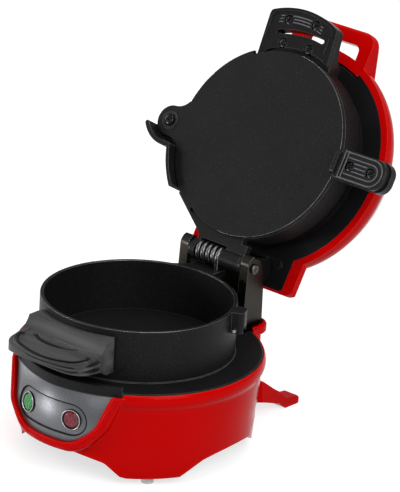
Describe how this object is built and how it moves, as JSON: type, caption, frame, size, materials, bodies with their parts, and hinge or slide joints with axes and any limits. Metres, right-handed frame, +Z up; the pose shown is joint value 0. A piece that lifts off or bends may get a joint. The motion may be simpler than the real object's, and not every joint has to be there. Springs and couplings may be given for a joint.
{
  "type": "breakfast sandwich maker",
  "caption": "Round countertop sandwich cooker: red base and hinged lid, lower bread ring, upper egg ring with a swinging cooking plate, handles, indicator lights and a sprung hinge.",
  "frame": {"origin": "on the table, under the axis of the round cooking ring", "axes": "+Z up, -Y the front with the control panel, +Y the hinge side, +X the side of the cooking plate's handle"},
  "size_m": [0.1675, 0.2502, 0.2175],
  "materials": {
    "red_plastic": "moulded, glossy",
    "black_plastic": "satin, finely ribbed",
    "panel_grey": "satin metallic grey",
    "non_stick": "dark non-stick coating",
    "black_metal": "black, satin",
    "post_steel": "dark bronze black",
    "bright_steel": "bare steel",
    "spring_steel": "dark spring wire",
    "black_screws": "blackened steel",
    "green_lens": "translucent green",
    "red_lens": "translucent dark red",
    "light_ring": "pale ring",
    "lamp_glass": "clear glass",
    "clear_rubber": "translucent, pale"
  },
  "bodies": {
    "base": {"base_housing": "red_plastic", "base_bottom_cover": "black_plastic", "bottom_cover_screws": "bright_steel", "rubber_feet": "clear_rubber", "control_panel": "panel_grey", "ready_light_lens": "green_lens", "power_light_lens": "red_lens", "light_rings": "light_ring", "indicator_lamps": "lamp_glass", "lower_heating_plate": "non_stick", "lower_heating_element": "bright_steel", "lower_thermostat": "bright_steel", "lower_thermal_fuse": "bright_steel", "heat_shield": "bright_steel", "cord_gland": "black_plastic", "hinge_bracket": "post_steel", "hinge_bracket_screws": "bright_steel", "hinge_pin": "bright_steel", "pin_spacers": "bright_steel", "torsion_spring": "spring_steel", "bottom_ring": "non_stick", "ring_lug_pin": "bright_steel", "bottom_handle_upper": "black_plastic", "bottom_handle_lower": "black_plastic", "bottom_handle_screws": "black_screws"},
    "upper_ring": {"top_ring": "non_stick", "top_ring_handle_upper": "black_plastic", "top_ring_handle_lower": "black_plastic", "top_ring_handle_screws": "black_screws", "plate_pivot_screw": "bright_steel", "plate_pivot_nut": "bright_steel"},
    "swing_plate": {"cooking_plate": "non_stick", "plate_handle_upper": "black_plastic", "plate_handle_lower": "black_plastic", "plate_handle_screws": "black_screws"},
    "lid": {"lid_shell": "red_plastic", "lid_liner": "black_metal", "upper_heating_plate": "non_stick", "upper_heating_element": "bright_steel", "upper_thermostat": "bright_steel", "upper_thermal_fuse": "bright_steel", "lid_bracket": "black_metal", "lid_bracket_screws": "bright_steel"}
  },
  "joints": [
    {"name": "lid_hinge", "type": "hinge", "parent": "base", "child": "lid", "pos_m": [0, 0.0664, 0.0903], "axis": [1, 0, 0], "range_deg": [0, 119.8]},
    {"name": "ring_hinge", "type": "hinge", "parent": "base", "child": "upper_ring", "pos_m": [0, 0.0664, 0.0903], "axis": [1, 0, 0], "range_deg": [0, 119.8]},
    {"name": "plate_swing", "type": "hinge", "parent": "upper_ring", "child": "swing_plate", "pos_m": [-0.0646, 0.0942, 0.14629], "axis": [0, -0.8678, 0.497], "range_deg": [0, 110]}
  ],
  "couplings": [
    {"joint": "ring_hinge", "follows": "lid_hinge", "ratio": 1}
  ]
}
